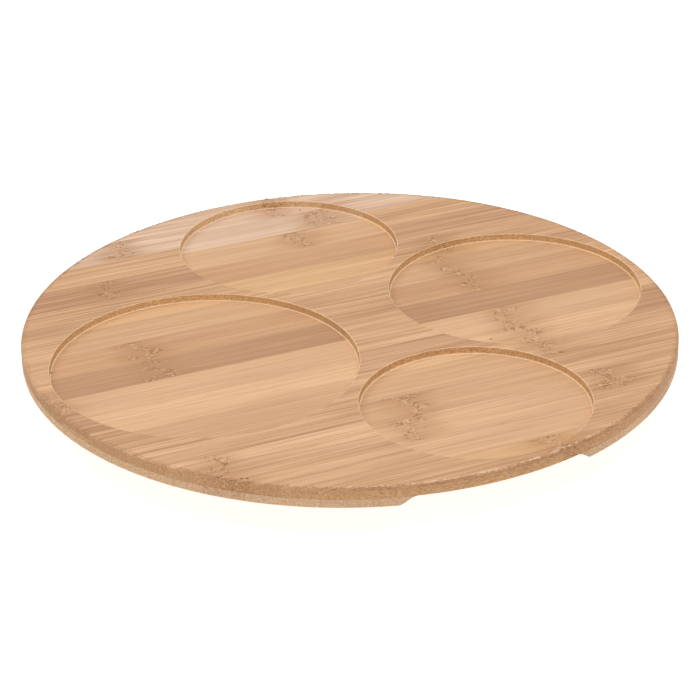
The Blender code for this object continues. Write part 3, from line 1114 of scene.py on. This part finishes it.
def pinholes(tree, place, spots):
    """A mask of the few tiny holes that borers and lost fibres leave."""
    flat = vector(tree, "MULTIPLY", place, (1, 1, 0))["Vector"]
    mask = 0.0
    for x, y in spots:
        away = vector(tree, "DISTANCE", flat, (x * MM, y * MM, 0))["Value"]
        hole = remap(tree, away, *PINHOLE, 1.0, 0.0)
        mask = calc(tree, "MAXIMUM", mask, hole)
    return mask


def torn_band(tree, place, out, rim_r):
    """A mask of the torn edge. Its inner side is toothed, and it fades where fibres meet the rim."""
    teeth = noise(tree, place, (800, 420, 420), 2, 0.6)
    start = calc(tree, "ADD", remap(tree, teeth, 0.35, 0.65, 0.0, 2.0 * MM), rim_r - 3.3 * MM)
    band = remap(tree, out, start, calc(tree, "ADD", start, 0.4 * MM))
    along = calc(tree, "DIVIDE", calc(tree, "ABSOLUTE", split(tree, place)[1]), rim_r)
    return times(tree, band, remap(tree, along, 0.35, 0.8, 0.4, 1.0))


def node_masks(tree, place, grain, strips):
    """The marks, the curls and the soft shade of the up to three nodes of each strip."""
    codes = tree.nodes.new("ShaderNodeSeparateColor")
    join(tree, codes.inputs[0], look_up(tree, grain["Number"], [node_codes(s) for s in strips]))
    mark = shade = 0.0
    for code in codes.outputs:
        at = times(tree, calc(tree, "SUBTRACT", code, 0.5), 4 * BOARD_R)
        knot = use_group(tree, knot_group, Place=place, Along=grain["Along"], Node_At=at)
        mark = calc(tree, "MAXIMUM", mark, knot["Mark"])
        shade = calc(tree, "MAXIMUM", shade, knot["Shade"])
    return mark, knot["Curl"], shade


def bamboo(name, strips, grain_turn, wall_tint, rim_shaded_tint, rim_r, spots=()):
    finish, tree, shader, own_place = new_finish(name, Specular_IOR_Level=0.3)
    place = turned_place(tree, own_place, grain_turn)
    grain = use_group(
        tree, grain_group, Place=place, Strip_Width=STRIP_WIDTH, First_Joint=FIRST_JOINT
    )
    number = grain["Number"]
    height = split(tree, place)[2]
    deep = remap(tree, height, FLOOR + 0.3 * MM, FLOOR + 1.2 * MM, 1.0, 0.0)
    top_tone = look_up(tree, number, [TONES[strip[0]] for strip in strips])
    floor_tone = look_up(tree, number, [TONES[strip[1]] for strip in strips])
    colour = mix(tree, deep, top_tone, floor_tone)
    mark, curl, shade = node_masks(tree, place, grain, strips)

    normal = tree.nodes.new("ShaderNodeNewGeometry").outputs["Normal"]
    upright = calc(tree, "ABSOLUTE", split(tree, normal)[2])
    wall = remap(tree, upright, 0.35, 0.8, 1.0, 0.0)
    flat_wall = opposite(tree, wall)
    # edge picks the rounded mouths, where the surface turns from flat towards upright, for a painted
    # highlight.
    edge = remap(tree, upright, 0.955, 0.99, 1.0, 0.0)
    edge = times(tree, remap(tree, upright, 0.5, 0.8), edge)
    out = from_axis(tree, place)
    at_rim = remap(tree, out, rim_r - RIM_MASK[0], rim_r - RIM_MASK[1])

    grained = colour
    for layer, low, high, dark, pale in GRAIN_LAYERS:
        grained = shade_by(tree, grained, grain[layer], low, high, dark, pale)
    share = calc(tree, "MULTIPLY_ADD", deep, -0.5, 1.0)
    share = times(tree, share, remap(tree, wall, 0.0, 1.0, 1.0, 0.22))
    colour = mix(tree, share, colour, grained)
    colour = stain(tree, colour, grain["Dashes"], 0.2, "8A5A3C")
    colour = stain(tree, colour, shade, 0.45, "AE7C52")
    curl_dark = times(tree, remap(tree, curl, 0.51, 0.61), mark)
    curl_pale = times(tree, remap(tree, curl, 0.47, 0.38), mark)
    colour = stain(tree, colour, curl_dark, 0.75, "8E5E38")
    colour = stain(tree, colour, curl_pale, 0.4, "E8CBA4")
    colour = stain(tree, colour, grain["Joint"], 0.22, "8A5F40")

    if spots:
        torn = times(tree, torn_band(tree, place, out, rim_r), flat_wall)
        edge = times(tree, edge, opposite(tree, at_rim))
        open_wood = mix(tree, 1.0, colour, (0.76, 0.7, 0.64, 1), "MULTIPLY")
        colour = mix(tree, torn, colour, open_wood)
    # Painted highlight: a pale line along the rounded mouths of the seats.
    colour = stain(tree, colour, edge, 0.85, "EFD0AC")

    dots = remap(tree, grain["Dots"], 0.36, 0.64)
    stipple = mix(tree, dots, tone("A67848"), tone("E2BE92"))
    # Near the rim the walls take the rim's tint, which holds painted shade.
    tint = mix(tree, at_rim, wall_tint, rim_shaded_tint)
    walls = mix(tree, 1.0, mix(tree, 0.42, colour, stipple), tint, "MULTIPLY")
    colour = mix(tree, wall, colour, walls)
    if spots:
        colour = mix(tree, pinholes(tree, own_place, spots), colour, tone("5A3A22"))
    join(tree, shader.inputs["Base Color"], colour)

    rough = remap(tree, grain["Fibres"], 0.3, 0.7, 0.48, 0.62)
    rough = calc(tree, "MULTIPLY_ADD", wall, 0.22, rough)
    join(tree, shader.inputs["Roughness"], rough)

    relief = times(tree, grain["Fibres"], 0.15)
    relief = calc(tree, "MULTIPLY_ADD", times(tree, mark, curl), -1.6, relief)
    relief = calc(tree, "MULTIPLY_ADD", times(tree, wall, dots), 0.6, relief)
    bump(tree, shader, relief, 0.1 * MM)
    return finish


CROSS_TURN = GRAIN_TURN + pi / 2
BASE_TURN = GRAIN_TURN + radians(38)  # the base's grain runs whichever way it was screwed on
WALL_TINT = (1.13, 1.13, 1.0, 1)
# The rim's tint is darker than the seat walls' tint: painted shade on the outer rim of the top and the
# base.
RIM_SHADED_TINT = (0.81, 0.74, 0.68, 1)
# The lower layer's tint is partly the cooler tone of its bamboo and partly painted shade on its cut
# faces.
CROSS_TINT_AND_SHADE = (0.94, 0.98, 1.1, 1)
top_finish = bamboo("oiled bamboo", STRIPS, GRAIN_TURN, WALL_TINT, RIM_SHADED_TINT, BOARD_R, PINHOLES)
cross_finish = bamboo(
    "oiled bamboo, cross layer", STRIPS[::-1], CROSS_TURN, CROSS_TINT_AND_SHADE, CROSS_TINT_AND_SHADE, BOARD_R
)
base_finish = bamboo(
    "oiled bamboo, base", STRIPS[3:] + STRIPS[:3], BASE_TURN, WALL_TINT, RIM_SHADED_TINT, BASE_R
)
print("Bamboo finishes:", top_finish.name, "|", cross_finish.name, "|", base_finish.name)

# %% [markdown]
# ## Wear that several finishes share
#
# Handled metal, nylon and rubber all carry faint smudges and a little grit. One group makes both
# masks, and each finish uses them with its own strength.

# %% Make the wear group
def make_wear_group():
    tree, given, made = new_group(
        "Handling wear", [("Place", "Vector"), ("Grit Size", "Float")], ["Smudge", "Grit"]
    )
    smudge = noise(tree, given["Place"], (160, 160, 160), 4, 0.6, 0.6)
    join(tree, made["Smudge"], remap(tree, smudge, 0.38, 0.66))
    scale = calc(tree, "DIVIDE", 1.0, given["Grit Size"])
    grit = tree.nodes.new("ShaderNodeTexVoronoi")
    join(tree, grit.inputs["Vector"], given["Place"])
    join(tree, grit.inputs["Scale"], scale)
    join(tree, made["Grit"], remap(tree, grit.outputs["Distance"], 0.12, 0.3, 1.0, 0.0))
    return tree


wear_group = make_wear_group()


def make_lathe_group():
    """Fine grooves round Z, as a lathe tool leaves them. The grooves follow radius and height."""
    tree, given, made = new_group("Lathe lines", [("Place", "Vector"), ("Pitch", "Float")], ["Lines"])
    path = calc(tree, "ADD", from_axis(tree, given["Place"]), split(tree, given["Place"])[2])
    where = tree.nodes.new("ShaderNodeCombineXYZ")
    join(tree, where.inputs[0], calc(tree, "DIVIDE", path, given["Pitch"]))
    lines = tree.nodes.new("ShaderNodeTexNoise")
    join(tree, lines.inputs["Vector"], where.outputs[0])
    join(tree, lines.inputs["Scale"], 1.0)
    join(tree, lines.inputs["Detail"], 3.0)
    join(tree, made["Lines"], remap(tree, lines.outputs[0], 0.3, 0.7))
    return tree


lathe_group = make_lathe_group()
print("Groups:", [group.name for group in bpy.data.node_groups])

# %% [markdown]
# ## Metal, nylon and rubber
#
# The rings are turned aluminium, so their shine is broken by lathe lines. The screws and the
# plug are steel with a thin zinc plating, a little yellow and worn, and the balls are polished.

# %% Make the metal finishes
def metal(name, pale, dark, low_rough, high_rough, pitch, bump_depth, lines_share):
    finish, tree, shader, place = new_finish(name)
    wear = use_group(tree, wear_group, Place=place, Grit_Size=0.9 * MM)
    lines = use_group(tree, lathe_group, Place=place, Pitch=pitch)["Lines"]
    shine = mix(tree, times(tree, lines, lines_share), pale, dark)
    shine = mix(tree, times(tree, wear["Smudge"], 0.3), shine, dark)
    join(tree, shader.inputs["Base Color"], shine)
    join(tree, shader.inputs["Metallic"], remap(tree, wear["Grit"], 0.0, 1.0, 1.0, 0.75))
    rough = remap(tree, wear["Smudge"], 0.0, 1.0, low_rough, high_rough)
    join(tree, shader.inputs["Roughness"], calc(tree, "MULTIPLY_ADD", lines, 0.06, rough))
    bump(tree, shader, lines, bump_depth)
    return finish


aluminium = metal(
    "turned aluminium", tone("D9DADC"), tone("B9BBBE"), 0.28, 0.42, 0.12 * MM, 0.012 * MM, 0.5
)
plated = metal("plated steel", tone("D2CFC8"), tone("A9A59C"), 0.22, 0.4, 0.3 * MM, 0.006 * MM, 0.25)
polished = metal("polished steel", tone("D8D8DA"), tone("BEBFC2"), 0.05, 0.14, 2 * MM, 0.0004 * MM, 0.1)

print("Metals:", aluminium.name, "|", plated.name, "|", polished.name)

# %% [markdown]
# Nylon lets a little light in, so it gets some subsurface scattering and the cloudy flow marks
# of moulding. Rubber is dark and dull, with a pebbled skin that picks up dust.

# %% Make the nylon and rubber finishes
nylon, tree, shader, place = new_finish(
    "natural nylon", Specular_IOR_Level=0.45, Subsurface_Weight=0.15, Subsurface_Scale=1.5 * MM
)
wear = use_group(tree, wear_group, Place=place, Grit_Size=0.7 * MM)
flow = noise(tree, place, (60, 60, 260), 3, 0.55, 0.5)
colour = mix(tree, remap(tree, flow, 0.35, 0.65), tone("E9E6DA"), tone("DAD5C4"))
colour = stain(tree, colour, wear["Smudge"], 0.25, "BDB6A2")
join(tree, shader.inputs["Base Color"], colour)
join(tree, shader.inputs["Roughness"], remap(tree, flow, 0.3, 0.7, 0.36, 0.5))
bump(tree, shader, flow, 0.02 * MM)

rubber, tree, shader, place = new_finish("moulded rubber", Specular_IOR_Level=0.4, Sheen_Weight=0.15)
wear = use_group(tree, wear_group, Place=place, Grit_Size=0.5 * MM)
pebble = noise(tree, place, (1800, 1800, 1800), 2, 0.5)
colour = mix(tree, remap(tree, pebble, 0.35, 0.65), tone("2A2A2B"), tone("3B3A39"))
colour = stain(tree, colour, wear["Smudge"], 0.3, "57534D")
colour = stain(tree, colour, wear["Grit"], 0.25, "8A8378")
join(tree, shader.inputs["Base Color"], colour)
join(tree, shader.inputs["Roughness"], remap(tree, pebble, 0.3, 0.7, 0.62, 0.82))
bump(tree, shader, pebble, 0.04 * MM)

# %% [markdown]
# ## Hanging the pieces
#
# Each piece now rides on its body and takes the place of its plain part: the board, its screws
# and the inner ring turn, the balls and their cage follow at about half the angle, and the rest
# stays on the table.

# %% Hang the pieces
def hang(piece, finish, body, node):
    """Gives a finished piece its finish and its body, in place of the plain part."""
    piece.data.materials.clear()
    piece.data.materials.append(finish)
    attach(piece, body)
    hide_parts(node)


hang(serving, top_finish, "turntable", "serving_board")
hang(backing, cross_finish, "turntable", "backing_board")
hang(inner_ring, aluminium, "turntable", "inner_race_ring")
hang(outer_ring, aluminium, "base", "outer_race_ring")
hang(base, base_finish, "base", "base_disc")
hang(plug, plated, "base", "filling_plug")
hang(cage, nylon, "ball_train", "ball_cage")
for i in FOUR:
    hang(board_screws[i - 1], plated, "turntable", f"board_screw_{i}")
    hang(base_screws[i - 1], plated, "base", f"base_screw_{i}")
    hang(pads[i - 1], rubber, "base", f"foot_pad_{i}")
for i, ball in enumerate(balls, 1):
    hang(ball, polished, "ball_train", f"bearing_ball_{i:02}")
print("Every piece hangs on the turntable, the ball train or the base")

# %% [markdown]
# ## The studio
#
# The board lies on a white table under a broad, soft light from the front and above, and the
# white room fills the shadows. The table glows a little, as a light table does, so the board's
# shadow stays faint.

# %% Set up the floor and the lights
bpy.context.scene.view_settings.view_transform = "Standard"

bpy.ops.object.select_all(action="DESELECT")
bpy.ops.mesh.primitive_plane_add(size=8)
table = settle("white_table")
white, tree, shader, place = new_finish(
    "white table",
    Base_Color=(0.45, 0.45, 0.45, 1),
    Roughness=0.9,
    Emission_Color=(1, 1, 1, 1),
    Emission_Strength=0.82,
)
table.data.materials.append(white)

room = bpy.data.worlds.new("white room")
bpy.context.scene.world = room
room.use_nodes = True
sky = room.node_tree.nodes["Background"]
sky.inputs["Color"].default_value = (1, 1, 1, 1)
sky.inputs["Strength"].default_value = 0.5


def soft_light(name, place, aim, size, watts):
    bpy.ops.object.light_add(type="AREA", location=place)
    light = bpy.context.active_object
    light.name = name
    light.data.shape = "DISK"
    light.data.size = size
    light.data.energy = watts
    light.rotation_euler = (Vector(aim) - Vector(place)).to_track_quat("-Z", "Y").to_euler()


MIDDLE = (0, 0, SERVING_HIGH)
soft_light("key light", (-0.1, -0.6, 1.9), MIDDLE, 1.4, 22)
soft_light("back light", (-0.6, 1.2, 1.3), MIDDLE, 1.2, 8)
print("The studio has a table, a white room and two soft lights")

# %% [markdown]
# ## The camera
#
# The camera looks down at the board from a little over a metre away through a long lens, so the
# round board appears as a calm ellipse.

# %% Place the camera
CAMERA_TURN = radians(-26.9)  # round the board, from the front
CAMERA_AWAY = 1.2520  # in metres, on the level
CAMERA_ABOVE = 0.6296  # over the board's top
CAMERA_PITCH = radians(-27.263)
CAMERA_ROLL = radians(-0.893)

bpy.ops.object.camera_add()
camera = bpy.context.active_object
camera.name = "camera"
camera.data.lens = 134.7  # in mm, for a sensor 36 mm wide
camera.data.sensor_width = 36
back = Matrix.Rotation(CAMERA_TURN, 4, "Z") @ Vector((0, -1, 0))
place = back * CAMERA_AWAY + Vector((0, 0, SERVING_HIGH + CAMERA_ABOVE))
camera.matrix_world = (
    Matrix.Translation(place)
    @ Matrix.Rotation(CAMERA_TURN, 4, "Z")
    @ Matrix.Rotation(pi / 2 + CAMERA_PITCH, 4, "X")
    @ Matrix.Rotation(CAMERA_ROLL, 4, "Z")
)
bpy.context.scene.camera = camera
print("The camera is", round(place.length, 2), "m from the middle of the base")
